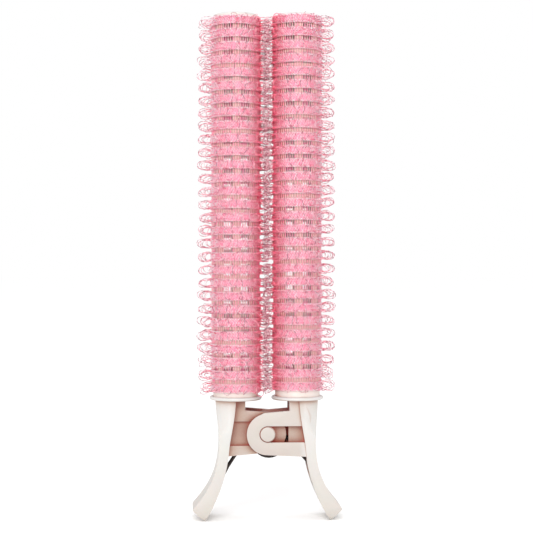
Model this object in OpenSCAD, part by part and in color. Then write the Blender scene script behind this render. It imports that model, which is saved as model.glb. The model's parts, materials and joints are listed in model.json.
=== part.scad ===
// Twin hair roller clip: two self-grip rollers on a pair of identical spring-loaded levers.
// X runs across the two rollers, Y along the hinge pin, Z up along the rollers.
// The origin is on the ground, midway between the tips of the handles. All sizes are in millimetres.

/* [Rollers] */
// Distance between the axes of the two rollers
axis_gap = 20.6; // [20.4:0.1:22]
// Outer diameter of a roller core
core_d = 14.9; // [14.6:0.1:15]
// Wall thickness of a roller core
core_wall = 1.05; // [0.9:0.05:1.2]
// Height of the top rim of a core above the ground
core_top = 166.2; // [165.9:0.1:168]
// Number of ribs round a core, one between each two columns of windows
rib_count = 8; // [6, 8, 10]
// Number of windows in a column
window_rows = 22; // [16:1:22]
// Distance between the centres of two windows in a column
window_pitch = 5.37; // [5:0.01:5.37]
// Width of a window
window_w = 3.5; // [2.6:0.1:3.5]
// Height of the plain ring between two windows
ring_h = 1.5; // [1.2:0.1:2.4]

/* [Hook net] */
// Number of hook rows on a roller
row_count = 29; // [20:1:29]
// Distance between two hook rows
row_pitch = 4.32; // [4:0.01:4.32]
// Diameter of the ground of the net
net_d = 16.7; // [16.2:0.1:17]
// Diameter over the tips of the hooks
hook_d = 25.6; // [22:0.1:26]
// Height of a hook row at its root
row_h = 2.9; // [2.4:0.1:3.2]
// Height of the lowest hook row above the ground
first_row = 43.9; // [43.6:0.1:44.4]
// How much higher the right net sits on its core than the left one
net_shift = 0.6; // [0:0.1:1]

/* [Levers] */
// Width of a handle, along the hinge pin
handle_w = 14; // [13.4:0.1:14.4]
// Diameter of the flange under a roller
flange_d = 17.3; // [16.8:0.1:17.6]
// Thickness of the flange
flange_h = 1.2; // [1:0.1:1.6]
// Thickness of the outer wall behind the channel of a handle
channel_wall = 2; // [1.6:0.1:2.4]

/* [Hinge] */
// Height of the hinge axis above the ground
pivot_h = 28.4; // [28.4:0.1:29]
// Diameter of the hinge pins
pin_d = 5.2; // [4.8:0.1:5.4]
// Clearance between a pin and the slot of the ear that it turns in
pin_clearance = 0.08; // [0.05:0.01:0.1]
// Radius of the round end of the slotted ear
ear_r = 6.83; // [6.5:0.01:6.9]
// Radius of the round lug that carries a pin
lug_r = 6.2; // [5.8:0.1:6.4]

/* [Spring] */
// Diameter of the spring wire
wire_d = 1.2; // [1:0.1:1.2]
// Mean diameter of the coil
coil_d = 10.4; // [10.2:0.1:10.6]
// How far the coil hangs below the hinge axis
coil_drop = 2.75; // [2.6:0.05:2.8]

/* [Hidden] */
$fn = 96;
eps = 0.01;

// Layers across the hinge, from the middle outwards
spring_room = 3.1;      // half the room that the spring has between the two lugs
lug_t = 1.5;            // thickness of a lug
layer_gap = 0.2;        // side play between a lug and the ear over it
ear_t = 1.7;            // thickness of an ear
pin_proud = 0.15;       // how far a pin stands out of the ear
lug_face = spring_room + lug_t;
ear_back = lug_face + layer_gap;
ear_face = ear_back + ear_t;
hub_r = 1.5;            // radius of the hub inside the coil
hub_gap = 0.1;          // half the gap between the two hubs
block_x = 7;            // where the block behind an ear starts, measured from the hinge axis
pocket_depth = 0.8;     // depth of the pocket in the face of a lug's arm

// Heights, measured from the hinge axis
flange_low = 11;
arm_low = -7.4;         // underside of the arms, at the handle
channel_low = -17.5;
web_x = 7.25;           // inner edge of the webs that carry the flange
rail_top = 7.7;         // top of the arms, at the webs
crest = [-1.2, 7];      // where the straight top of an arm ends, a little past the hinge axis
neck_r = 6.95;          // radius of the round neck that a handle grows out of
pin_lead = 0.25;        // step round the end of a pin
flange_top = pivot_h + flange_low + flange_h;
spigot_r = core_d / 2 - core_wall - 0.05;
spigot_h = 5;

// Height of the first window's lower edge, and of the rim that the end cap sits on
window_low = 48.4;
window_drop = 2;        // how much lower the windows at the back sit than those in front
cap_h = 1;
cap_plug = 2.6;
net_wall_gap = 0.05;    // the net is wrapped round the core with this clearance
mid_gap = 0.2;          // how far the hooks stop short of the plane between the rollers

ivory = "AntiqueWhite";
pink = "LightPink";

// A point at t on the cubic curve through the control points p[0] to p[3]
function bezier(p, t) =
    pow(1 - t, 3) * p[0] + 3 * t * pow(1 - t, 2) * p[1] + 3 * t * t * (1 - t) * p[2] + pow(t, 3) * p[3];
function curve(p, steps) = [for (i = [0:steps]) bezier(p, i / steps)];

// The side outline of a handle, measured from the hinge axis: an S shape that flares out to a square tip
outer_top = [[17, flange_low], [16.9, 6.5], [16.1, 3], [15.95, -2]];
outer_low = [[15.95, -2], [15.8, -11.5], [18.2, -17.2], [24.1, -23.9]];
inner_low = [[20.6, -pivot_h], [15.4, -20], [13.2, -12], [12.7, -6]];
inner_top = [[12.7, -6], [12.4, -1], [10.9, 3], [10.4, flange_low]];
curve_steps = 14;
tip_r = 1;              // radius of the outer corner of the tip

// The outer edge of a handle moved in by d, as a list of points from the top down
function outer_edge(d) = [for (p = concat(curve(outer_top, curve_steps), curve(outer_low, curve_steps))) p - [d, 0]];
function inner_edge() = concat(curve(inner_low, curve_steps), curve(inner_top, curve_steps));

// Stands a flat outline up in the plane of the levers, from y = a to y = b, with its origin on the hinge axis
module upright(a, b) {
    translate([0, b, pivot_h]) rotate([90, 0, 0]) linear_extrude(b - a) children();
}

module handle_outline() {
    polygon(concat(outer_edge(0), [[24.6, -24.6], [23.9, -25.4]], inner_edge()));
}

// The outline of a handle from the side of its tip: a light waist, then a wider rounded end
module handle_front() {
    half = handle_w / 2;
    side = concat([[half, flange_top]],
                  curve([[half, pivot_h], [half - 0.6, pivot_h - 8], [half - 0.6, 12], [half + 0.4, 4]], 10));
    corner = [for (a = [0:15:90]) [half - 1.6 + 2 * cos(a), 2 - 2 * sin(a)]];
    right = concat(side, corner);
    polygon(concat(right, [for (i = [len(right) - 1:-1:0]) [-right[i][0], right[i][1]]]));
}

// Round about the roller's axis at the top, and wider further down: it rounds a handle's shoulders off
module neck_envelope() {
    rotate_extrude() polygon(concat(
        [[0, -40], [40, -40]],
        curve([[14, -9], [9, -3], [neck_r, 3], [neck_r, 8]], 8),
        [[neck_r, flange_low + eps], [0, flange_low + eps]]));
}

// The channel along the inner side of a handle, where the leg of the spring lies
module channel_outline() {
    intersection() {
        polygon(concat(outer_edge(channel_wall), [[0, -24], [0, flange_low]]));
        translate([0, channel_low]) square([30, flange_low - channel_low - 3]);
    }
}

// The arm that ends in a round lug or ear: a bar to the handle, and a web up to the flange
module arm_outline(r) {
    circle(r = r);
    polygon([[crest[0] - 1, sqrt(r * r - pow(crest[0] - 1, 2))], crest, [web_x, rail_top],
             [web_x, flange_low + eps], [12, flange_low + eps], [14, 6], [14.4, arm_low - 0.1], [0, -r]]);
}

// The right-hand lever: handle, flange and spigot, a slotted ear in front and a lug with its pin behind
module lever() {
    roller_x = axis_gap / 2;
    hole_r = pin_d / 2 + pin_clearance;
    difference() {
        union() {
            intersection() {
                upright(-handle_w, handle_w) handle_outline();
                translate([30, 0, 0]) rotate([90, 0, -90]) linear_extrude(60) handle_front();
                translate([roller_x, 0, pivot_h]) neck_envelope();
            }
            // Ear with its slot, and the block behind it
            intersection() {
                union() {
                    difference() {
                        upright(-ear_face, -ear_back) arm_outline(ear_r);
                        upright(-ear_face - 1, -ear_back + 1) circle(r = hole_r);
                        upright(-ear_face - 1, -ear_back + 1)
                            translate([0, -hole_r]) square([12.6, 2 * hole_r]);
                    }
                    upright(-ear_back - eps, -spring_room) intersection() {
                        arm_outline(ear_r);
                        translate([block_x, -20]) square([20, 40]);
                    }
                }
                translate([roller_x, 0, pivot_h]) neck_room();
            }
            // Lug with its pin outside and half of the spring's hub inside
            difference() {
                upright(spring_room, lug_face) arm_outline(lug_r);
                upright(lug_face - pocket_depth, lug_face + 1) difference() {
                    translate([0, -3.9]) square([15, 8]);
                    circle(r = 4.8);
                }
            }
            upright(lug_face - eps, ear_face - pin_lead) circle(d = pin_d);
            upright(lug_face - eps, ear_face + pin_proud) circle(r = pin_d / 2 - pin_lead);
            upright(hub_gap, spring_room + eps) circle(r = hub_r);
        }
        upright(-spring_room, spring_room) channel_outline();
    }
    translate([roller_x, 0, pivot_h + flange_low]) flange();
    translate([roller_x, 0, flange_top - eps]) cylinder(r = spigot_r, h = spigot_h);
}

// The room that the webs may fill: all of it at the hinge, a cylinder a little narrower than the flange above it
module neck_room() {
    translate([0, 0, -40]) cylinder(r = 40, h = 40 + rail_top);
    cylinder(r = flange_d / 2 - 0.5, h = flange_low + eps);
}

// A disc with a half-round rim
module flange() {
    rim = flange_h / 2;
    rotate_extrude() {
        square([flange_d / 2 - rim, flange_h]);
        translate([flange_d / 2 - rim, rim]) intersection() {
            circle(r = rim, $fn = 32);
            translate([-1, -rim]) square([1 + rim, flange_h]);
        }
    }
}

// A tube with columns of windows between its ribs
module core() {
    height = core_top - flange_top;
    window_h = window_pitch - ring_h;
    translate([0, 0, flange_top]) difference() {
        cylinder(d = core_d, h = height);
        translate([0, 0, -1]) cylinder(r = core_d / 2 - core_wall, h = height + 2);
        for (row = [0:window_rows - 1], k = [0:rib_count - 1])
            let (turn = (k + 0.5) * 360 / rib_count, drop = turn < 180 ? window_drop : 0)
                translate([0, 0, window_low - drop - flange_top + row * window_pitch])
                    rotate([0, 0, turn]) translate([0, -window_w / 2, 0])
                        cube([core_d / 2 + 1, window_w, window_h]);
    }
}

// The hook net in plain form: a tube with one ridge for each row of hooks, cut flat where the rollers meet
module hook_net(lift) {
    ground = net_d / 2;
    tip = hook_d / 2;
    low = first_row + lift - row_h / 2;
    ridge = [for (i = [0:row_count - 1])
                let (z = first_row + lift + i * row_pitch)
                    each [[ground, z - row_h / 2], [tip, z - row_h / 2 + 0.5], [tip, z + row_h / 2 - 0.5],
                          [ground, z + row_h / 2]]];
    high = ridge[len(ridge) - 1][1];
    inside = core_d / 2 + net_wall_gap;
    difference() {
        rotate_extrude() polygon(concat([[inside, low]], ridge, [[inside, high]]));
        translate([-axis_gap / 2 - 20 + mid_gap, -20, 0]) cube([20, 40, core_top + 20]);
    }
}

// A shallow cap with a rounded edge and a plug that fits in the core
module end_cap() {
    edge = 0.7;
    top_r = core_d / 2 - 0.1;
    translate([0, 0, core_top]) rotate_extrude() {
        square([top_r - edge, cap_h]);
        square([top_r, cap_h - edge]);
        translate([top_r - edge, cap_h - edge]) intersection() {
            circle(r = edge, $fn = 32);
            square(edge);
        }
    }
    translate([0, 0, core_top - cap_plug]) cylinder(r = spigot_r, h = cap_plug + eps);
}

// Points along the middle of the spring wire: right leg, coil, left leg
leg_angle = 38;         // where a leg leaves the coil
coil_turns = 2;         // whole turns, to which the way from leg to leg is added
coil_half = 1.5;        // how far each leg lies from the middle of the coil
coil_shift = 0.8;       // how far the coil sits to the right of the hinge axis
right_leg = [[14.6, -12.5], [13.4, -9.3], [11.6, -7.3]];
left_leg = [[-10.6, -8], [-12.9, -11.5], [-14.2, -14]];
coil_steps = 26;        // steps in a turn
sweep = 360 * coil_turns + 180 - 2 * leg_angle;
coil_count = round(sweep / 360 * coil_steps);
function coil_point(s) =
    let (a = leg_angle + s * sweep)
        [coil_d / 2 * cos(a) + coil_shift, coil_half * (2 * s - 1), coil_d / 2 * sin(a) - coil_drop];
function spring_path() = concat(
    [for (p = right_leg) [p[0], -coil_half, p[1]]],
    [for (i = [0:coil_count]) coil_point(i / coil_count)],
    [for (p = left_leg) [p[0], coil_half, p[1]]]);

function unit(v) = v / norm(v);
// The ring of points round place i of a path, square to the way the path runs there
function ring(path, i, r, sides) =
    let (last = len(path) - 1,
         along = unit(path[min(i + 1, last)] - path[max(i - 1, 0)]),
         across = unit([0, 1, 0] - (along * [0, 1, 0]) * along),
         out = cross(along, across))
        [for (k = [0:sides - 1]) path[i] + r * (cos(360 * k / sides) * out + sin(360 * k / sides) * across)];

// A tube of radius r along a path
module tube(path, r, sides) {
    n = len(path);
    points = [for (i = [0:n - 1]) each ring(path, i, r, sides)];
    walls = [for (i = [0:n - 2], k = [0:sides - 1])
                let (j = (k + 1) % sides)
                    [i * sides + k, (i + 1) * sides + k, (i + 1) * sides + j, i * sides + j]];
    first = [for (k = [0:sides - 1]) k];
    last = [for (k = [sides - 1:-1:0]) (n - 1) * sides + k];
    polyhedron(points, concat([first], walls, [last]), convexity = 8);
}

module torsion_spring() {
    color("DimGray") translate([0, 0, pivot_h]) tube(spring_path(), wire_d / 2, 8);
}

module right_lever() { color(ivory) lever(); }
module left_lever() { color(ivory) rotate([0, 0, 180]) lever(); }
module right_core() { color(ivory) translate([axis_gap / 2, 0, 0]) core(); }
module left_core() { color(ivory) translate([-axis_gap / 2, 0, 0]) core(); }
module right_end_cap() { color(ivory) translate([axis_gap / 2, 0, 0]) end_cap(); }
module left_end_cap() { color(ivory) translate([-axis_gap / 2, 0, 0]) end_cap(); }
module right_hook_net() { color(pink) translate([axis_gap / 2, 0, 0]) hook_net(net_shift / 2); }
module left_hook_net() { color(pink) rotate([0, 0, 180]) translate([axis_gap / 2, 0, 0]) hook_net(-net_shift / 2); }

left_lever();
right_lever();
left_core();
right_core();
left_hook_net();
right_hook_net();
left_end_cap();
right_end_cap();
torsion_spring();
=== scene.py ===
import json
import math
import random

import bpy
from mathutils import Matrix, Vector


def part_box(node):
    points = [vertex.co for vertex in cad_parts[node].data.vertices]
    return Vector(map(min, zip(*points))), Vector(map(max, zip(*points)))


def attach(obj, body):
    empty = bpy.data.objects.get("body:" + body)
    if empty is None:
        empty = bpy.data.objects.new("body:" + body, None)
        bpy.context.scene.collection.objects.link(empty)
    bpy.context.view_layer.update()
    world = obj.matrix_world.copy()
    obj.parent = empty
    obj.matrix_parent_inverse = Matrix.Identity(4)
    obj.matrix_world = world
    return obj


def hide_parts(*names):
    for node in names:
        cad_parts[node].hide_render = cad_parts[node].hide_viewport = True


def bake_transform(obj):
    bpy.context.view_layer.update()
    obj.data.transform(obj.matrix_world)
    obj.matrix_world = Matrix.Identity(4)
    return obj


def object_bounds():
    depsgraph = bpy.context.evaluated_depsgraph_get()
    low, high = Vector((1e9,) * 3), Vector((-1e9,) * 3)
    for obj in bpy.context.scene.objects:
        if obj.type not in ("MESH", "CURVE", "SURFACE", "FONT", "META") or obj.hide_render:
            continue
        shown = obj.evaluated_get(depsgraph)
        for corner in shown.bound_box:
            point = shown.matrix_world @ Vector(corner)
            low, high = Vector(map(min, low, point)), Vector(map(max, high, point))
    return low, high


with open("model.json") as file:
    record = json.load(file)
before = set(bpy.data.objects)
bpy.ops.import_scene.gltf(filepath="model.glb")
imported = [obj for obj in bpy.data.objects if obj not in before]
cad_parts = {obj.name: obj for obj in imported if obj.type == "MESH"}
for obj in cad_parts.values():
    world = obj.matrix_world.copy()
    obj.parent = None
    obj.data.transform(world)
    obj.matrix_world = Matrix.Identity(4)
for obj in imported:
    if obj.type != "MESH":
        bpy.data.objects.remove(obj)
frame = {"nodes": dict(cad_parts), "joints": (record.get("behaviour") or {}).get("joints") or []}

bl_info = {
    "name": "Twin hair roller clip",
    "version": (1, 0, 0),
    "blender": (4, 5, 0),
    "location": "View3D > Sidebar > Roller Clip",
    "description": "Builds a twin self-grip hair roller clip around its CAD frame",
    "category": "Add Mesh",
}

CAD_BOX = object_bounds()
MM = 0.001
ROLLERS = {"left": -1, "right": 1}      # side of the clip, and the side of X that it is on
FIRST_ROW = 1.45 * MM                   # from a net's end to the middle of its first row of hooks

# Where the painted shade on the plastic and the pink changes, from one value to the other
TIPS = (12 * MM, 20 * MM)               # height over which the painted recess shade fades out towards what the handles stand on
HANDLES = (0.0, 38 * MM)                # height over which the handles' plastic turns from its painted foot shade
FLANGES = (38.9 * MM, 39.9 * MM)        # height at which the flanges start
HINGE_SIDES = (10.5 * MM, 12.5 * MM)    # distance from the middle at which the hinge ends and a handle starts
MEETING = (1.4 * MM, 2 * MM)            # distance from the middle over which the hooks of both rollers mix
VALLEY = (2 * MM, 6 * MM)               # distance from the middle over which the nets' painted crimson shade fades out


# ---------------------------------------------------------------- places that come from the frame

def roller_axis(side):
    """X and Y of a roller's axis."""
    low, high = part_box(side + "_core")
    return (low[0] + high[0]) / 2, (low[1] + high[1]) / 2


def first_row(side):
    """Z of the middle of a net's lowest row."""
    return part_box(side + "_hook_net")[0][2] + FIRST_ROW


def row_pitch(rows):
    """Distance from one row of a net to the next."""
    low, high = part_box("left_hook_net")
    return (high[2] - low[2] - 2 * FIRST_ROW) / (rows - 1)


def hinge_point():
    """The hinge's axis runs along Y through this point."""
    return Vector(frame["joints"][0]["pos_m"])


# ---------------------------------------------------------------- colours and materials

def linear(hex_colour):
    """An sRGB hex colour as the linear RGBA that the shaders take."""
    channels = [int(hex_colour[i:i + 2], 16) / 255 for i in (1, 3, 5)]
    return [c / 12.92 if c <= 0.04045 else ((c + 0.055) / 1.055) ** 2.4 for c in channels] + [1]


def add_node(tree, kind, settings=None, inputs=None, links=None):
    """Adds a node with its settings, its socket values, and the links that run into it."""
    node = tree.nodes.new(kind)
    for name, value in (settings or {}).items():
        setattr(node, name, value)
    for name, value in (inputs or {}).items():
        node.inputs[name].default_value = value
    for name, source in (links or {}).items():
        tree.links.new(source, node.inputs[name])
    return node


def new_material(name):
    """An empty node material, its tree and its output."""
    material = bpy.data.materials.new(name)
    material.use_nodes = True
    tree = material.node_tree
    tree.nodes.clear()
    return material, tree, add_node(tree, "ShaderNodeOutputMaterial")


def satin_abs(tree, output, place, colour, grain_mm, roughness):
    """Finishes an ABS material: a faint mottle in its colour, a moulded grain and a soft satin sheen. The
    real grain is finer than grain_mm, and is drawn as coarse as it needs to be to show."""
    mottle = add_node(tree, "ShaderNodeTexNoise", inputs={"Scale": 1 / (6 * MM), "Detail": 3},
                      links={"Vector": place})
    blotch = add_node(tree, "ShaderNodeMix", {"data_type": "RGBA", "blend_type": "SOFT_LIGHT"}, {0: 0.06},
                      {6: colour, 7: mottle.outputs["Color"]})
    grain = add_node(tree, "ShaderNodeTexNoise", inputs={"Scale": 1 / (grain_mm * MM), "Detail": 2},
                     links={"Vector": place})
    relief = add_node(tree, "ShaderNodeBump", inputs={"Strength": 0.12, "Distance": 0.02 * MM},
                      links={"Height": grain.outputs["Fac"]})
    plastic = add_node(tree, "ShaderNodeBsdfPrincipled",
                       inputs={"Roughness": roughness, "IOR": 1.54, "Subsurface Weight": 0.08,
                               "Subsurface Radius": (1.0, 0.6, 0.45), "Subsurface Scale": 1.0 * MM},
                       links={"Base Color": blotch.outputs[2], "Normal": relief.outputs["Normal"]})
    tree.links.new(plastic.outputs[0], output.inputs["Surface"])


def recess_ramp(tree, tones, openness):
    """Painted shade: the plastic's colour by how open a place is. Each tone is an openness, from 0 where it
    is shut in to 1, and its colour."""
    ramp = add_node(tree, "ShaderNodeValToRGB", links={"Fac": openness})
    stops = ramp.color_ramp.elements
    stops.remove(stops[1])
    stops[0].position, stops[0].color = tones[0][0], linear(tones[0][1])
    for at, tone in tones[1:]:
        stops.new(at).color = linear(tone)
    return ramp.outputs["Color"]


def lever_abs(name, settings):
    """Blush ivory ABS, injection moulded: satin, pale and nearly neutral on the handles, with painted shade:
    a little darker and warmer in the middle, a little darker towards the tips, and tan to maroon in recesses
    and inside the hinge, reddened as light that has gone through the plastic would be."""
    material, tree, output = new_material(name)
    place = add_node(tree, "ShaderNodeTexCoord").outputs["Object"]
    x, y, z = add_node(tree, "ShaderNodeSeparateXYZ", links={0: place}).outputs
    crevice = add_node(tree, "ShaderNodeAmbientOcclusion", {"samples": 12}, {"Distance": 10 * MM})
    # No painted recess shade near what the handles stand on, nor on the flanges under the nets
    near_floor = add_node(tree, "ShaderNodeMapRange", inputs={"From Min": TIPS[1], "From Max": TIPS[0]},
                          links={"Value": z})
    flange = add_node(tree, "ShaderNodeMapRange",
                      inputs={"From Min": FLANGES[0], "From Max": FLANGES[1], "To Max": 0.98},
                      links={"Value": z})
    clear = add_node(tree, "ShaderNodeMath", {"operation": "MAXIMUM"},
                     links={0: near_floor.outputs[0], 1: flange.outputs[0]})
    openness = add_node(tree, "ShaderNodeMath", {"operation": "MAXIMUM"},
                        links={0: crevice.outputs["AO"], 1: clear.outputs[0]})
    # Painted shade, from maroon where a place is shut in to none where it is open
    tones = ((0.16, settings.dark_shade_colour), (0.5, settings.deep_shade_colour), (0.8, settings.near_shade_colour),
             (0.97, "#FFFFFF"))
    tint = recess_ramp(tree, tones, openness.outputs[0])
    # Painted shade: the hinge's parts are darker and warmer than the handles and the flanges on both sides of
    # them
    across = add_node(tree, "ShaderNodeMath", {"operation": "ABSOLUTE"}, links={0: x})
    beside = add_node(tree, "ShaderNodeMapRange",
                      inputs={"From Min": HINGE_SIDES[0], "From Max": HINGE_SIDES[1]},
                      links={"Value": across.outputs[0]})
    outside = add_node(tree, "ShaderNodeMath", {"operation": "MAXIMUM"},
                       links={0: beside.outputs[0], 1: flange.outputs[0]})
    open_tone = add_node(tree, "ShaderNodeMix", {"data_type": "RGBA"},
                         {6: linear(settings.hinge_shade_colour), 7: linear(settings.face_colour)},
                         {0: outside.outputs[0]})
    # Painted shade: the handles darken a little towards their tips
    rise = add_node(tree, "ShaderNodeMapRange", inputs={"From Min": HANDLES[0], "From Max": HANDLES[1]},
                    links={"Value": z})
    foot_shade = add_node(tree, "ShaderNodeMix", {"data_type": "RGBA"},
                    {6: linear(settings.foot_shade_colour), 7: linear("#FFFFFF")}, {0: rise.outputs["Result"]})
    face = add_node(tree, "ShaderNodeMix", {"data_type": "RGBA", "blend_type": "MULTIPLY"}, {0: 1.0},
                    {6: open_tone.outputs[2], 7: foot_shade.outputs[2]})
    colour = add_node(tree, "ShaderNodeMix", {"data_type": "RGBA", "blend_type": "MULTIPLY"}, {0: 1.0},
                      {6: face.outputs[2], 7: tint})
    satin_abs(tree, output, place, colour.outputs[2], 0.25, 0.42)
    return material


def core_abs(name, tones):
    """Blush ABS, injection moulded thin: matt, with painted shade from rosy brown inside the windows to tan
    under the net, reddened as light through the pink net would be."""
    material, tree, output = new_material(name)
    place = add_node(tree, "ShaderNodeTexCoord").outputs["Object"]
    crevice = add_node(tree, "ShaderNodeAmbientOcclusion", {"samples": 12}, {"Distance": 12 * MM})
    satin_abs(tree, output, place, recess_ramp(tree, tones, crevice.outputs["AO"]), 0.3, 0.5)
    return material


def paint_shut_in_shade(tree, colour, shade, shut, clear, middle=0.0):
    """Paints shade into a colour: turns it to a deeper crimson where it is shut in, as light that has gone
    through dyed yarn would be. shut and clear are the openness at which the painted shade is full and at
    which it ends, and middle is how clear the colour stays in the plane where the rollers meet."""
    crevice = add_node(tree, "ShaderNodeAmbientOcclusion", {"samples": 8}, {"Distance": 8 * MM})
    open_air = add_node(tree, "ShaderNodeMapRange", inputs={"From Min": shut, "From Max": clear},
                        links={"Value": crevice.outputs["AO"]})
    # Painted crimson shade between the rollers, where light would have gone through both nets
    place = add_node(tree, "ShaderNodeTexCoord").outputs["Object"]
    x = add_node(tree, "ShaderNodeSeparateXYZ", links={0: place}).outputs[0]
    across = add_node(tree, "ShaderNodeMath", {"operation": "ABSOLUTE"}, links={0: x})
    outside = add_node(tree, "ShaderNodeMapRange",
                       inputs={"From Min": VALLEY[0], "From Max": VALLEY[1], "To Min": 0.25},
                       links={"Value": across.outputs[0]})
    between = add_node(tree, "ShaderNodeMath", {"operation": "MINIMUM"},
                       links={0: open_air.outputs[0], 1: outside.outputs[0]})
    meeting = add_node(tree, "ShaderNodeMapRange",
                       inputs={"From Min": MEETING[1], "From Max": MEETING[0], "To Max": middle},
                       links={"Value": across.outputs[0]})
    openness = add_node(tree, "ShaderNodeMath", {"operation": "MAXIMUM"},
                        links={0: between.outputs[0], 1: meeting.outputs[0]})
    tinted = add_node(tree, "ShaderNodeMix", {"data_type": "RGBA"}, {6: linear(shade)},
                      {0: openness.outputs[0], 7: colour})
    return tinted.outputs[2]


def dyed_knit(name, light, deep, shade, thread_mm, through):
    """Polyamide yarn, knitted and dyed pink: matt, with a mottle from a pale bloom to deeper pink that is
    partly the yarn's own tone and partly painted glints, and a painted shade of deeper pink where it is shut
    in. through is the share of light that it lets pass, which glows pink inside. Lint is finer than
    thread_mm, and is drawn as coarse as it needs to be to show."""
    material, tree, output = new_material(name)
    place = add_node(tree, "ShaderNodeTexCoord").outputs["Object"]
    lint_and_glints = add_node(tree, "ShaderNodeTexNoise",
                    inputs={"Scale": 1 / (thread_mm * MM), "Detail": 2, "Roughness": 0.6},
                    links={"Vector": place})
    spread = add_node(tree, "ShaderNodeMapRange", inputs={"From Min": 0.4, "From Max": 0.56},
                      links={"Value": lint_and_glints.outputs["Fac"]})
    dye_and_glints = add_node(tree, "ShaderNodeMix", {"data_type": "RGBA"}, {6: linear(deep), 7: linear(light)},
                   {0: spread.outputs["Result"]})
    colour = paint_shut_in_shade(tree, dye_and_glints.outputs[2], shade, 0.06, 0.32)
    relief = add_node(tree, "ShaderNodeBump", inputs={"Strength": 0.5, "Distance": 0.08 * MM},
                      links={"Height": lint_and_glints.outputs["Fac"]})
    yarn = add_node(tree, "ShaderNodeBsdfPrincipled",
                    inputs={"Roughness": 0.45, "IOR": 1.53, "Sheen Weight": 0.2, "Sheen Roughness": 0.4},
                    links={"Base Color": colour, "Normal": relief.outputs["Normal"]})
    glow = add_node(tree, "ShaderNodeBsdfTranslucent", links={"Color": colour})
    knit = add_node(tree, "ShaderNodeMixShader", inputs={0: through},
                    links={1: yarn.outputs[0], 2: glow.outputs[0]})
    tree.links.new(knit.outputs[0], output.inputs["Surface"])
    return material


def mauve_nylon(name, dark, pale, shade):
    """Nylon monofilament, drawn: thin and glossy, its mauve dark and pale in turn along its length, a painted
    shade and painted glint where the real filament bends light. It is a fine mauve line at the net's outline
    and a speckle in front of the bands, and takes a painted crimson shade where it is shut in."""
    material, tree, output = new_material(name)
    place = add_node(tree, "ShaderNodeTexCoord").outputs["Object"]
    wander = add_node(tree, "ShaderNodeTexNoise", inputs={"Scale": 1 / (0.5 * MM), "Detail": 1},
                      links={"Vector": place})
    spread = add_node(tree, "ShaderNodeMapRange", inputs={"From Min": 0.46, "From Max": 0.54},
                      links={"Value": wander.outputs["Fac"]})
    tint = add_node(tree, "ShaderNodeMix", {"data_type": "RGBA"}, {6: linear(dark), 7: linear(pale)},
                    {0: spread.outputs["Result"]})
    colour = paint_shut_in_shade(tree, tint.outputs[2], shade, 0.32, 0.65, middle=0.8)
    nylon = add_node(tree, "ShaderNodeBsdfPrincipled",
                     inputs={"Roughness": 0.18, "IOR": 1.53, "Specular IOR Level": 0.8},
                     links={"Base Color": colour})
    tree.links.new(nylon.outputs[0], output.inputs["Surface"])
    return material


def spring_steel(name, colour):
    """Oil-hardened spring wire, drawn: almost black, with a dull and uneven metallic sheen."""
    material, tree, output = new_material(name)
    place = add_node(tree, "ShaderNodeTexCoord").outputs["Object"]
    drawn = add_node(tree, "ShaderNodeTexNoise", inputs={"Scale": 1 / (0.25 * MM), "Detail": 2},
                     links={"Vector": place})
    dull = add_node(tree, "ShaderNodeMapRange", inputs={"To Min": 0.28, "To Max": 0.5},
                    links={"Value": drawn.outputs["Fac"]})
    steel = add_node(tree, "ShaderNodeBsdfPrincipled",
                     inputs={"Base Color": linear(colour), "Metallic": 1.0},
                     links={"Roughness": dull.outputs["Result"]})
    tree.links.new(steel.outputs[0], output.inputs["Surface"])
    return material


def paper_floor(name):
    """Matt white paper: no gloss and almost no shade."""
    material, tree, output = new_material(name)
    paper = add_node(tree, "ShaderNodeBsdfDiffuse", inputs={"Color": (1, 1, 1, 1)})
    tree.links.new(paper.outputs[0], output.inputs["Surface"])
    return material


def paint(obj, material):
    """Gives the whole of a piece one material."""
    obj.data.materials.clear()
    obj.data.materials.append(material)


# ---------------------------------------------------------------- modelling helpers

def deselect():
    bpy.ops.object.select_all(action="DESELECT")


def only(obj):
    """Makes obj the one selected and active object."""
    deselect()
    obj.select_set(True)
    bpy.context.view_layer.objects.active = obj


def join(pieces, name):
    """Joins objects into one, with its place in its mesh."""
    deselect()
    for piece in pieces:
        piece.select_set(True)
    bpy.context.view_layer.objects.active = pieces[0]
    if len(pieces) > 1:
        bpy.ops.object.join()
    settle(pieces[0], name)
    return pieces[0]


def settle(obj, name):
    """Puts a piece's place, turn and size into its mesh, and names it."""
    only(obj)
    bpy.ops.object.transform_apply(location=True, rotation=True, scale=True)
    obj.name = name
    obj.data.name = name


def twin(source, matrix, name):
    """A copy of source with its own mesh, moved by matrix."""
    copy = source.copy()
    copy.data = source.data.copy()
    copy.data.transform(matrix)
    copy.name = name
    bpy.context.scene.collection.objects.link(copy)
    return copy


def apply_modifier(obj, kind, **settings):
    """Adds a modifier with its settings and applies it."""
    only(obj)
    modifier = obj.modifiers.new(kind.title(), kind)
    for name, value in settings.items():
        setattr(modifier, name, value)
    bpy.ops.object.modifier_apply(modifier=modifier.name)


def curve_to_tube(obj, wire_r, steps=4):
    """Turns a curve into a four-sided tube of mesh."""
    obj.data.bevel_depth = wire_r
    obj.data.bevel_resolution = 0
    obj.data.resolution_u = steps
    obj.data.use_fill_caps = True
    only(obj)
    bpy.ops.object.convert(target="MESH")
    return bpy.context.view_layer.objects.active


# ---------------------------------------------------------------- sizes and colours that a user would change

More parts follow.
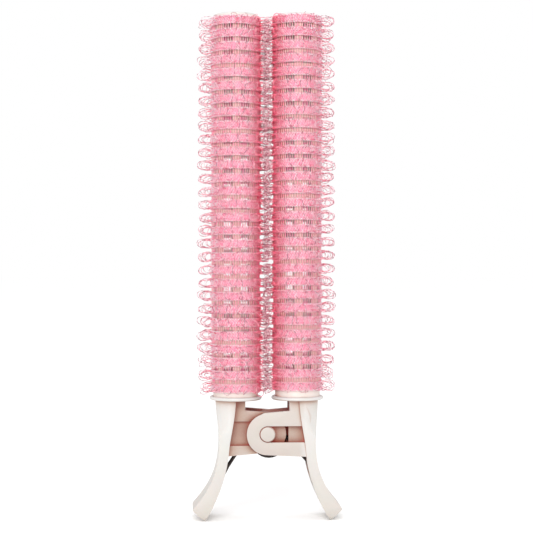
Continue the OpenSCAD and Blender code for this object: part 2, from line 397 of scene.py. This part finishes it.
class LeverSettings(bpy.types.PropertyGroup):
    face_colour: bpy.props.StringProperty(
        name="Face", description="Plastic of the handles", default="#C5C4C1")
    # Painted shade: the hinge's plastic is drawn darker and warmer than the handles
    hinge_shade_colour: bpy.props.StringProperty(
        name="Hinge", description="Plastic of the hinge", default="#B8B1AB")
    # Painted shade beside a recess, in a recess and inside the hinge
    near_shade_colour: bpy.props.StringProperty(
        name="Near", description="Tint beside a recess", default="#ECD3C5")
    deep_shade_colour: bpy.props.StringProperty(
        name="Deep", description="Tint in a recess", default="#C07A5F")
    dark_shade_colour: bpy.props.StringProperty(
        name="Dark", description="Tint inside the hinge", default="#EE3A2A")
    # Painted shade towards the handles' tips
    foot_shade_colour: bpy.props.StringProperty(
        name="Foot", description="Tint of the handles' tips", default="#EEE6E0")
    core_colour: bpy.props.StringProperty(
        name="Core", description="Plastic of the roller cores", default="#D9CFC8")
    # Painted shade: the cores under the net, and their inside
    core_shade: bpy.props.StringProperty(
        name="Core shade", description="Cores under the net", default="#D6AC9B")
    core_inside_shade: bpy.props.StringProperty(
        name="Core dark", description="Inside of the cores", default="#A34A33")
    edge_round: bpy.props.FloatProperty(
        name="Edge rounding", description="Radius that the mould leaves on an edge", default=0.5 * MM,
        min=0.0, max=0.8 * MM, subtype="DISTANCE", unit="LENGTH")


class SpringSettings(bpy.types.PropertyGroup):
    colour: bpy.props.StringProperty(name="Colour", description="Oil-hardened wire", default="#3A3432")
    wire_r: bpy.props.FloatProperty(
        name="Wire radius", description="Radius of the wire", default=0.6 * MM, min=0.3 * MM, max=0.7 * MM,
        subtype="DISTANCE", unit="LENGTH")
    coil_r: bpy.props.FloatProperty(
        name="Coil radius", description="Radius of the coil's middle line", default=5.2 * MM, min=5 * MM,
        max=5.4 * MM, subtype="DISTANCE", unit="LENGTH")


class NetSettings(bpy.types.PropertyGroup):
    rows: bpy.props.IntProperty(name="Rows", description="Hook rows on a roller", default=29, min=2, max=40)
    wales: bpy.props.IntProperty(
        name="Wales", description="Knitted columns round a roller", default=60, min=12, max=90)
    ground_r: bpy.props.FloatProperty(
        name="Ground radius", description="Radius of the knitted ground", default=8.2 * MM, min=7.6 * MM,
        max=8.8 * MM, subtype="DISTANCE", unit="LENGTH")
    band_h: bpy.props.FloatProperty(
        name="Band height", description="Height of a dense band", default=2.45 * MM, min=1.5 * MM,
        max=3.2 * MM, subtype="DISTANCE", unit="LENGTH")
    yarn_r: bpy.props.FloatProperty(
        name="Yarn radius", description="Radius of the ground's yarn", default=0.17 * MM, min=0.05 * MM,
        max=0.3 * MM, subtype="DISTANCE", unit="LENGTH")
    # Light and deep mottle the yarn: partly its own pink, partly painted glints
    light: bpy.props.StringProperty(name="Light pink", description="Yarn crowns", default="#FFFAFD")
    deep: bpy.props.StringProperty(name="Deep pink", description="Yarn flanks", default="#FF94BA")
    ground: bpy.props.StringProperty(
        name="Ground pink", description="Band under the yarn", default="#FF8DB2")
    wale: bpy.props.StringProperty(
        name="Wale", description="Strands across the gaps", default="#F2CFCB")
    # Painted shade: a deeper crimson where the net is shut in and between the rollers
    shade: bpy.props.StringProperty(
        name="Shade", description="Tint where the net is shut in", default="#FF4E74")


class HookSettings(bpy.types.PropertyGroup):
    per_row: bpy.props.IntProperty(
        name="Hooks in a row", description="Hooks round a roller", default=32, min=8, max=80)
    reach: bpy.props.FloatProperty(
        name="Reach", description="Distance from the roller's axis to a hook's tip", default=12.75 * MM,
        min=10 * MM, max=13 * MM, subtype="DISTANCE", unit="LENGTH")
    height: bpy.props.FloatProperty(
        name="Height", description="Height of a hook's oval", default=3.1 * MM, min=1.5 * MM, max=4 * MM,
        subtype="DISTANCE", unit="LENGTH")
    wire_r: bpy.props.FloatProperty(
        name="Wire radius", description="Radius of the monofilament", default=0.1 * MM, min=0.04 * MM,
        max=0.2 * MM, subtype="DISTANCE", unit="LENGTH")
    seed: bpy.props.IntProperty(name="Seed", description="Seed of the hooks' lean and twist", default=7)
    # Dark and pale are the filament's mauve with painted dark refraction edges and painted glints
    dark: bpy.props.StringProperty(name="Dark", description="Filament, darker", default="#86495A")
    pale: bpy.props.StringProperty(name="Pale", description="Filament, lighter", default="#F8CFD8")


class StageSettings(bpy.types.PropertyGroup):
    azimuth: bpy.props.FloatProperty(
        name="Azimuth", description="Camera's turn about the clip", default=math.radians(-3.3),
        subtype="ANGLE", unit="ROTATION")
    distance: bpy.props.FloatProperty(
        name="Distance", description="From the camera to the clip's axis", default=0.45, subtype="DISTANCE",
        unit="LENGTH")
    eye_height: bpy.props.FloatProperty(
        name="Eye height", description="Camera's height above the floor", default=0.08507, subtype="DISTANCE",
        unit="LENGTH")
    daylight: bpy.props.FloatProperty(
        name="Surround", description="Strength of the white surround", default=1.0)
    key: bpy.props.FloatProperty(
        name="Key", description="Power of the soft box in front", default=5.0, unit="POWER")
    sides: bpy.props.FloatProperty(
        name="Sides", description="Power of the soft box on each side", default=0.3, unit="POWER")


SETTINGS = {"clip_levers": LeverSettings, "clip_spring": SpringSettings, "clip_net": NetSettings,
            "clip_hooks": HookSettings, "clip_stage": StageSettings}


# ---------------------------------------------------------------- levers, cores and caps

class CLIP_OT_levers(bpy.types.Operator):
    """The two lever mouldings, with the soft edges that the mould leaves"""
    bl_idname = "clip.levers"
    bl_label = "Levers"

    def execute(self, context):
        settings = context.scene.clip_levers
        plastic = lever_abs("moulded_ivory_abs", settings)
        for side in ROLLERS:
            node = frame["nodes"][side + "_lever"]
            lever = twin(node, Matrix.Identity(4), side + "_lever_moulding")
            lever.parent = None
            for key in list(lever.keys()):
                del lever[key]
            only(lever)
            bpy.ops.object.mode_set(mode="EDIT")
            bpy.ops.mesh.select_all(action="SELECT")
            bpy.ops.mesh.remove_doubles(threshold=0.002 * MM)
            bpy.ops.mesh.dissolve_limited(angle_limit=math.radians(0.6))
            bpy.ops.object.mode_set(mode="OBJECT")
            apply_modifier(lever, "BEVEL", width=settings.edge_round, segments=3, limit_method="ANGLE",
                           angle_limit=math.radians(38), miter_outer="MITER_ARC")
            bpy.ops.object.shade_smooth_by_angle(angle=math.radians(32))
            paint(lever, plastic)
            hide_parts(side + "_lever")
            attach(lever, side + "_half")
        return {"FINISHED"}


class CLIP_OT_cores(bpy.types.Operator):
    """The finish of the windowed cores and of their end caps, with painted shade in their recesses"""
    bl_idname = "clip.cores"
    bl_label = "Cores and end caps"

    def execute(self, context):
        settings = context.scene.clip_levers
        # Painted shade: brown inside the cores, tan under the net; the caps darken in their recesses
        core = core_abs("moulded_blush_abs", ((0.16, settings.core_inside_shade), (0.28, settings.core_shade),
                                              (0.5, settings.core_colour)))
        cap = core_abs("moulded_ivory_cap_abs", ((0.2, settings.near_shade_colour), (0.9, settings.face_colour)))
        for side in ROLLERS:
            paint(frame["nodes"][side + "_core"], core)
            paint(frame["nodes"][side + "_end_cap"], cap)
        return {"FINISHED"}


# ---------------------------------------------------------------- spring

class CLIP_OT_spring(bpy.types.Operator):
    """The torsion spring: a coil about the hinge with a bent leg to each handle"""
    bl_idname = "clip.spring"
    bl_label = "Torsion spring"

    def execute(self, context):
        settings = context.scene.clip_spring
        pivot = hinge_point()
        middle = pivot + Vector((0.8 * MM, 0, -2.75 * MM))
        half = 1.5 * MM                     # half of the distance along the coil between the wire's two ends
        leg = math.radians(38)              # how far above the coil's middle both ends are
        sweep = 2 * math.tau + math.pi - 2 * leg
        steps = 64
        start = Vector((settings.coil_r * math.cos(leg), -half, settings.coil_r * math.sin(leg)))
        deselect()
        bpy.ops.mesh.primitive_circle_add(vertices=12, radius=settings.wire_r, fill_type="NOTHING")
        wire = bpy.context.active_object
        wire.data.transform(Matrix.Translation(start) @ Matrix.Rotation(-leg, 4, "Y"))
        apply_modifier(wire, "SCREW", axis="Y", angle=-sweep, steps=steps, render_steps=steps,
                       screw_offset=2 * half, use_merge_vertices=False)
        wire.data.transform(Matrix.Translation(middle))
        # The legs grow out of the coil's two open ends, in three bends each
        right_leg = ((11.6, -7.3), (13.4, -9.3), (14.6, -12.5))
        left_leg = ((-10.6, -8), (-12.9, -11.5), (-14.2, -14))
        for y, bends in ((-half, right_leg), (half, left_leg)):
            for x, z in bends:
                self.draw_out(wire, pivot + Vector((x * MM, y, z * MM)))
        only(wire)
        bpy.ops.object.mode_set(mode="EDIT")
        bpy.ops.mesh.select_all(action="SELECT")
        bpy.ops.mesh.fill_holes(sides=16)
        bpy.ops.mesh.remove_doubles(threshold=0.001 * MM)
        bpy.ops.mesh.normals_make_consistent(inside=False)
        bpy.ops.object.mode_set(mode="OBJECT")
        bpy.ops.object.shade_smooth_by_angle(angle=math.radians(50))
        settle(wire, "wound_spring")
        paint(wire, spring_steel("oil_hardened_wire", settings.colour))
        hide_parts("torsion_spring")
        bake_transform(wire)
        return {"FINISHED"}

    def draw_out(self, wire, target):
        """Extrudes the wire's open end that is on the target's side of Y, and moves it to target, square to
        its way."""
        mesh = wire.data
        uses = {}
        for face in mesh.polygons:
            for key in face.edge_keys:
                uses[key] = uses.get(key, 0) + 1
        rims = {v for key, count in uses.items() if count == 1 for v in key}
        near = {v for v in rims if mesh.vertices[v].co.y * target.y > 0}
        centre = sum((mesh.vertices[v].co for v in near), Vector()) / len(near)
        old_way = self.ring_normal(mesh, near, centre)
        new_way = (target - centre).normalized()
        if old_way.dot(new_way) < 0:
            old_way = -old_way
        only(wire)
        bpy.ops.object.mode_set(mode="EDIT")
        bpy.ops.mesh.select_mode(type="VERT")
        bpy.ops.mesh.select_all(action="DESELECT")
        bpy.ops.object.mode_set(mode="OBJECT")
        for v in near:
            mesh.vertices[v].select = True
        for edge in mesh.edges:
            edge.select = edge.vertices[0] in near and edge.vertices[1] in near
        bpy.ops.object.mode_set(mode="EDIT")
        bpy.ops.mesh.extrude_edges_move(TRANSFORM_OT_translate={"value": target - centre})
        bpy.ops.object.mode_set(mode="OBJECT")
        turn = old_way.rotation_difference(new_way).to_matrix().to_4x4()
        for vertex in mesh.vertices:
            if vertex.select:
                vertex.co = target + turn @ (vertex.co - target)
        mesh.update()

    def ring_normal(self, mesh, ring, centre):
        """The direction square to a ring of vertices."""
        points = sorted((mesh.vertices[v].co - centre for v in ring), key=lambda p: (p.x, p.y, p.z))
        first = points[0]
        other = min(points, key=lambda p: abs(p.normalized().dot(first.normalized())))
        return first.cross(other).normalized()


# ---------------------------------------------------------------- net

class CLIP_OT_nets(bpy.types.Operator):
    """The knitted ground of the two nets: dense pink bands with open gaps between them"""
    bl_idname = "clip.nets"
    bl_label = "Knitted nets"

    def execute(self, context):
        settings = context.scene.clip_net
        knit = dyed_knit("dyed_polyamide_knit", settings.light, settings.deep, settings.shade, 0.4, 0.12)
        under = dyed_knit("dyed_polyamide_ground", settings.deep, settings.ground, settings.shade, 0.4, 0.15)
        wale = dyed_knit("dyed_polyamide_wales", settings.wale, settings.deep, settings.shade, 0.8, 0.1)
        pitch = row_pitch(settings.rows)
        band = self.band(settings, pitch)
        yarns = self.yarns(settings, pitch)
        strands = self.strands(settings, pitch)
        for side in ROLLERS:
            x, y = roller_axis(side)
            place = Matrix.Translation((x, y, first_row(side))) @ Matrix.Rotation(0.4 * ROLLERS[side], 4, "Z")
            for source, name, material in ((band, "_net_bands", under), (yarns, "_net_yarns", knit),
                                           (strands, "_net_wales", wale)):
                piece = twin(source, place, side + name)
                paint(piece, material)
                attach(piece, side + "_half")
                if name == "_net_bands":
                    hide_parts(side + "_hook_net")
        for source in (band, yarns, strands):
            bpy.data.objects.remove(source)
        return {"FINISHED"}

    def band(self, settings, pitch):
        """The dense part of every row: a thin sleeve whose middle course stands a little proud at alternate
        stitches.
        """
        deselect()
        bpy.ops.mesh.primitive_cylinder_add(vertices=2 * settings.wales, radius=settings.ground_r - 0.25 * MM,
                                            depth=settings.band_h * 0.94, end_fill_type="NOTHING")
        band = bpy.context.active_object
        bpy.ops.object.mode_set(mode="EDIT")
        bpy.ops.mesh.select_all(action="SELECT")
        bpy.ops.mesh.subdivide(number_cuts=1)
        bpy.ops.mesh.select_all(action="DESELECT")
        bpy.ops.object.mode_set(mode="OBJECT")
        # Alternate stitches of the middle course stand a little proud
        for vertex in band.data.vertices:
            around = round(math.atan2(vertex.co.y, vertex.co.x) / math.tau * 4 * settings.wales)
            vertex.select = abs(vertex.co.z) < 0.3 * MM and around % 2 == 0
        bpy.ops.object.mode_set(mode="EDIT")
        bpy.ops.transform.resize(value=(1.02, 1.02, 1), center_override=(0, 0, 0))
        bpy.ops.object.mode_set(mode="OBJECT")
        apply_modifier(band, "SOLIDIFY", thickness=0.22 * MM, offset=-1)
        apply_modifier(band, "ARRAY", count=settings.rows, use_relative_offset=False,
                       use_constant_offset=True, constant_offset_displace=(0, 0, pitch))
        bpy.ops.object.shade_smooth_by_angle(angle=math.radians(60))
        return band

    def yarns(self, settings, pitch):
        """The courses of a band: four yarns in zigzag, each a third of a stitch on from the last, and a cord
        along each edge."""
        half = settings.band_h / 2
        courses = [(z * half, 0.24 * half, 0.63 * z) for z in (-0.75, -0.25, 0.25, 0.75)]
        cords = [(z * half, 0.2 * half, 0.0) for z in (-1, 1)]
        tubes = []
        for z, swing, phase in courses + cords:
            tube = self.zigzag(settings, swing, phase)
            tube.data.transform(Matrix.Translation((0, 0, z)))
            tubes.append(tube)
        lap = join(tubes, "lap")
        apply_modifier(lap, "ARRAY", count=settings.rows, use_relative_offset=False,
                       use_constant_offset=True, constant_offset_displace=(0, 0, pitch))
        bpy.ops.object.shade_smooth()
        return lap

    def zigzag(self, settings, swing, phase):
        """One yarn round the roller, which goes up and down by swing at every wale and is turned by phase of
        a wale."""
        deselect()
        bpy.ops.mesh.primitive_circle_add(vertices=2 * settings.wales, radius=settings.ground_r,
                                          rotation=(0, 0, phase * math.tau / settings.wales))
        ring = bpy.context.active_object
        bpy.ops.object.transform_apply(location=False, rotation=True, scale=False)
        for i, vertex in enumerate(ring.data.vertices):
            vertex.select = i % 2 == 0
        for edge in ring.data.edges:
            edge.select = False
        bpy.ops.object.mode_set(mode="EDIT")
        bpy.ops.mesh.select_mode(type="VERT")
        bpy.ops.transform.translate(value=(0, 0, 2 * swing))
        bpy.ops.mesh.select_all(action="SELECT")
        bpy.ops.transform.translate(value=(0, 0, -swing))
        bpy.ops.object.mode_set(mode="OBJECT")
        bpy.ops.object.convert(target="CURVE")
        return curve_to_tube(bpy.context.active_object, settings.yarn_r)

    def strands(self, settings, pitch):
        """The wales that cross the gaps: two fine yarns in a chain, repeated round the roller."""
        height = (settings.rows - 1) * pitch
        end = 0.5 * MM                      # how far a strand runs past the first and the last row
        steps = 3 * (settings.rows - 1) + 1
        pair = []
        for phase in (1, -1):
            deselect()
            bpy.ops.mesh.primitive_circle_add(vertices=4, radius=0.12 * MM)
            bpy.ops.object.mode_set(mode="EDIT")
            bpy.ops.mesh.select_all(action="SELECT")
            bpy.ops.transform.translate(value=(settings.ground_r - 0.3 * MM, phase * 0.1 * MM, -end))
            bend = -phase
            for _ in range(steps):
                bpy.ops.mesh.extrude_region_move(
                    TRANSFORM_OT_translate={"value": (0, bend * 0.2 * MM, (height + 2 * end) / steps)})
                bend = -bend
            bpy.ops.object.mode_set(mode="OBJECT")
            pair.append(bpy.context.active_object)
        chain = join(pair, "chain")
        bpy.ops.object.mode_set(mode="EDIT")
        bpy.ops.mesh.select_all(action="SELECT")
        bpy.ops.mesh.normals_make_consistent(inside=False)
        bpy.ops.object.mode_set(mode="OBJECT")
        turns = [twin(chain, Matrix.Rotation(math.tau * (i + 0.5) / settings.wales, 4, "Z"), "wale")
                 for i in range(settings.wales)]
        bpy.data.objects.remove(chain)
        wales = join(turns, "wales")
        bpy.ops.object.shade_smooth()
        return wales


# ---------------------------------------------------------------- hooks

class CLIP_OT_hooks(bpy.types.Operator):
    """The rows of fine wire hooks that stand out of the nets and hold the hair"""
    bl_idname = "clip.hooks"
    bl_label = "Hooks"

    def execute(self, context):
        net = context.scene.clip_net
        settings = context.scene.clip_hooks
        dice = random.Random(settings.seed)
        nylon = mauve_nylon("drawn_nylon_filament", settings.dark, settings.pale, net.shade)
        shapes = [self.hook(net, settings, dice) for _ in range(8)]
        rows = [self.row(shapes, settings, dice, i) for i in range(6)]
        ragged = [self.row(shapes, settings, dice, 6 + i, mess=2.2) for i in range(2)]
        tangles = [self.row(shapes, settings, dice, 8 + i, mess=3.4, sector=math.radians(70), count=5)
                   for i in range(3)]
        pitch = row_pitch(net.rows)
        for side, sign in ROLLERS.items():
            x, y = roller_axis(side)
            base = first_row(side)
            parts = []
            for i in range(net.rows):
                pool = ragged if i < 3 or i == net.rows - 1 else rows
                turn = Matrix.Rotation(dice.uniform(0, math.tau), 4, "Z")
                rise = Matrix.Translation((x, y, base + i * pitch))
                parts.append(twin(dice.choice(pool), rise @ turn, "row"))
                inward = Matrix.Rotation((math.pi if sign > 0 else 0) + dice.uniform(-0.1, 0.1), 4, "Z")
                down, up = (0.4 if i else 0), (0.4 if i < net.rows - 1 else 0)
                stray = Matrix.Translation((0, 0, dice.uniform(-down, up) * pitch))
                parts.append(twin(dice.choice(tangles), rise @ stray @ inward, "tangle"))
            hooks = join(parts, side + "_net_hooks")
            self.press_back(hooks, sign)
            only(hooks)
            bpy.ops.object.shade_smooth()
            paint(hooks, nylon)
            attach(hooks, side + "_half")
        for source in shapes + rows + ragged + tangles:
            bpy.data.objects.remove(source)
        return {"FINISHED"}

    def hook(self, net, settings, dice):
        """One hook: an oval of wire in the plane of the roller's axis, its root in the net."""
        deselect()
        bpy.ops.curve.primitive_bezier_circle_add(radius=1, rotation=(math.pi / 2, 0, 0))
        oval = bpy.context.active_object
        reach = settings.reach - net.ground_r + 0.3 * MM
        length = reach * dice.uniform(0.9, 1.0)
        height = settings.height * dice.uniform(0.78, 1.0)
        bpy.ops.object.transform_apply(location=False, rotation=True, scale=False)
        bpy.ops.object.mode_set(mode="EDIT")
        bpy.ops.curve.select_all(action="SELECT")
        bpy.ops.transform.resize(value=(length / 2, 1, height / 2), center_override=(0, 0, 0))
        bpy.ops.transform.translate(value=(net.ground_r - 0.3 * MM + length / 2, 0, 0))
        bpy.ops.object.mode_set(mode="OBJECT")
        # The top and the bottom of the oval stray sideways, so the loop isn't flat
        for point in oval.data.splines[0].bezier_points:
            stray = Vector((dice.uniform(-0.3, 0.3), dice.uniform(-0.6, 0.6), dice.uniform(-0.2, 0.2))) * MM
            if point.co.x < net.ground_r:
                stray *= 0.2
            point.co += stray
            point.handle_left += stray
            point.handle_right += stray
        return curve_to_tube(oval, settings.wire_r, steps=4)

    def row(self, shapes, settings, dice, number, mess=1.0, sector=math.tau, count=None):
        """One row of hooks round a roller, or over a sector that faces +X. Each leans and twists a little, or
        more with more mess."""
        count = count or settings.per_row
        root = Vector((8 * MM, 0, 0))       # every hook bends about its root in the net
        hooks = []
        for i in range(count):
            shape = dice.choice(shapes)
            twist = Matrix.Rotation(math.radians(dice.gauss(0, 16 * mess)), 4, "X")
            lean = Matrix.Rotation(math.radians(dice.gauss(0, 5 * mess)), 4, "Y")
            sway = Matrix.Rotation(math.radians(dice.gauss(0, 9 * mess)), 4, "Z")
            bent = Matrix.Translation(root) @ sway @ lean @ twist @ Matrix.Translation(-root)
            angle = sector * ((i + 0.5 + dice.uniform(-0.3, 0.3)) / count - 0.5)
            hooks.append(twin(shape, Matrix.Rotation(angle, 4, "Z") @ bent, "hook"))
        return join(hooks, "row_%d" % number)

    def press_back(self, hooks, sign):
        """Hooks that meet the other net bend back, so that they don't run through it."""
        limit = -sign * 0.4 * MM            # X at which a hook meets the other net's hooks
        squeeze = 0.4                       # how far it comes back for each bit that it would have gone past
        for vertex in hooks.data.vertices:
            past = (vertex.co.x - limit) * -sign
            if past > 0:
                vertex.co.x = limit - sign * past * squeeze
        hooks.data.update()


# ---------------------------------------------------------------- stage

class CLIP_OT_stage(bpy.types.Operator):
    """Floor, soft light and camera"""
    bl_idname = "clip.stage"
    bl_label = "Stage"

    def execute(self, context):
        settings = context.scene.clip_stage
        deselect()
        bpy.ops.mesh.primitive_circle_add(vertices=64, radius=6, fill_type="NGON",
                                          location=(0, 0, CAD_BOX[0][2]))
        floor = bpy.context.active_object
        settle(floor, "floor")
        paint(floor, paper_floor("white_paper"))

        world = bpy.data.worlds.new("surround")
        world.use_nodes = True
        world.node_tree.nodes["Background"].inputs["Color"].default_value = (1, 1, 1, 1)
        world.node_tree.nodes["Background"].inputs["Strength"].default_value = settings.daylight
        context.scene.world = world

        aim = Vector((0, 0, 0.09))
        for name, place, power in (("front_soft_box", (-0.12, -0.75, 0.45), settings.key),
                                   ("left_soft_box", (-0.7, 0.05, 0.25), settings.sides),
                                   ("right_soft_box", (0.7, 0.05, 0.25), settings.sides)):
            deselect()
            bpy.ops.object.light_add(type="AREA", location=place)
            lamp = bpy.context.active_object
            lamp.name = name
            lamp.data.shape = "RECTANGLE"
            lamp.data.size = 0.5
            lamp.data.size_y = 0.6
            lamp.data.energy = power
            lamp.rotation_euler = (aim - lamp.location).to_track_quat("-Z", "Y").to_euler()

        turn = settings.azimuth
        bpy.ops.object.camera_add(
            location=(math.sin(turn) * settings.distance, -math.cos(turn) * settings.distance,
                      settings.eye_height),
            rotation=(math.pi / 2, 0, turn))
        camera = bpy.context.active_object
        camera.name = "camera"
        camera.data.sensor_width = 36
        camera.data.lens = 36 * 1350 / 533
        camera.data.shift_y = -0.0084
        camera.data.clip_start = 0.01
        camera.data.clip_end = 50
        context.scene.camera = camera
        context.scene.view_settings.view_transform = "Standard"
        context.scene.view_settings.look = "None"
        return {"FINISHED"}


# ---------------------------------------------------------------- sidebar and registration

OPERATORS = (CLIP_OT_levers, CLIP_OT_cores, CLIP_OT_spring, CLIP_OT_nets, CLIP_OT_hooks, CLIP_OT_stage)


class CLIP_PT_panel(bpy.types.Panel):
    """Lists the settings and the steps that build the clip"""
    bl_idname = "CLIP_PT_panel"
    bl_label = "Roller Clip"
    bl_space_type = "VIEW_3D"
    bl_region_type = "UI"
    bl_category = "Roller Clip"

    def draw(self, context):
        for name, group in SETTINGS.items():
            box = self.layout.box()
            box.label(text=name.replace("clip_", "").title())
            for prop in group.__annotations__:
                box.prop(getattr(context.scene, name), prop)
        for operator in OPERATORS:
            self.layout.operator(operator.bl_idname)


def register():
    for group in SETTINGS.values():
        bpy.utils.register_class(group)
    for name, group in SETTINGS.items():
        setattr(bpy.types.Scene, name, bpy.props.PointerProperty(type=group))
    for operator in OPERATORS:
        bpy.utils.register_class(operator)
    bpy.utils.register_class(CLIP_PT_panel)


def unregister():
    bpy.utils.unregister_class(CLIP_PT_panel)
    for operator in reversed(OPERATORS):
        bpy.utils.unregister_class(operator)
    for name, group in SETTINGS.items():
        delattr(bpy.types.Scene, name)
        bpy.utils.unregister_class(group)


def main():
    register()
    for operator in OPERATORS:
        group, step = operator.bl_idname.split(".")
        getattr(getattr(bpy.ops, group), step)()


if __name__ == "__main__":
    main()
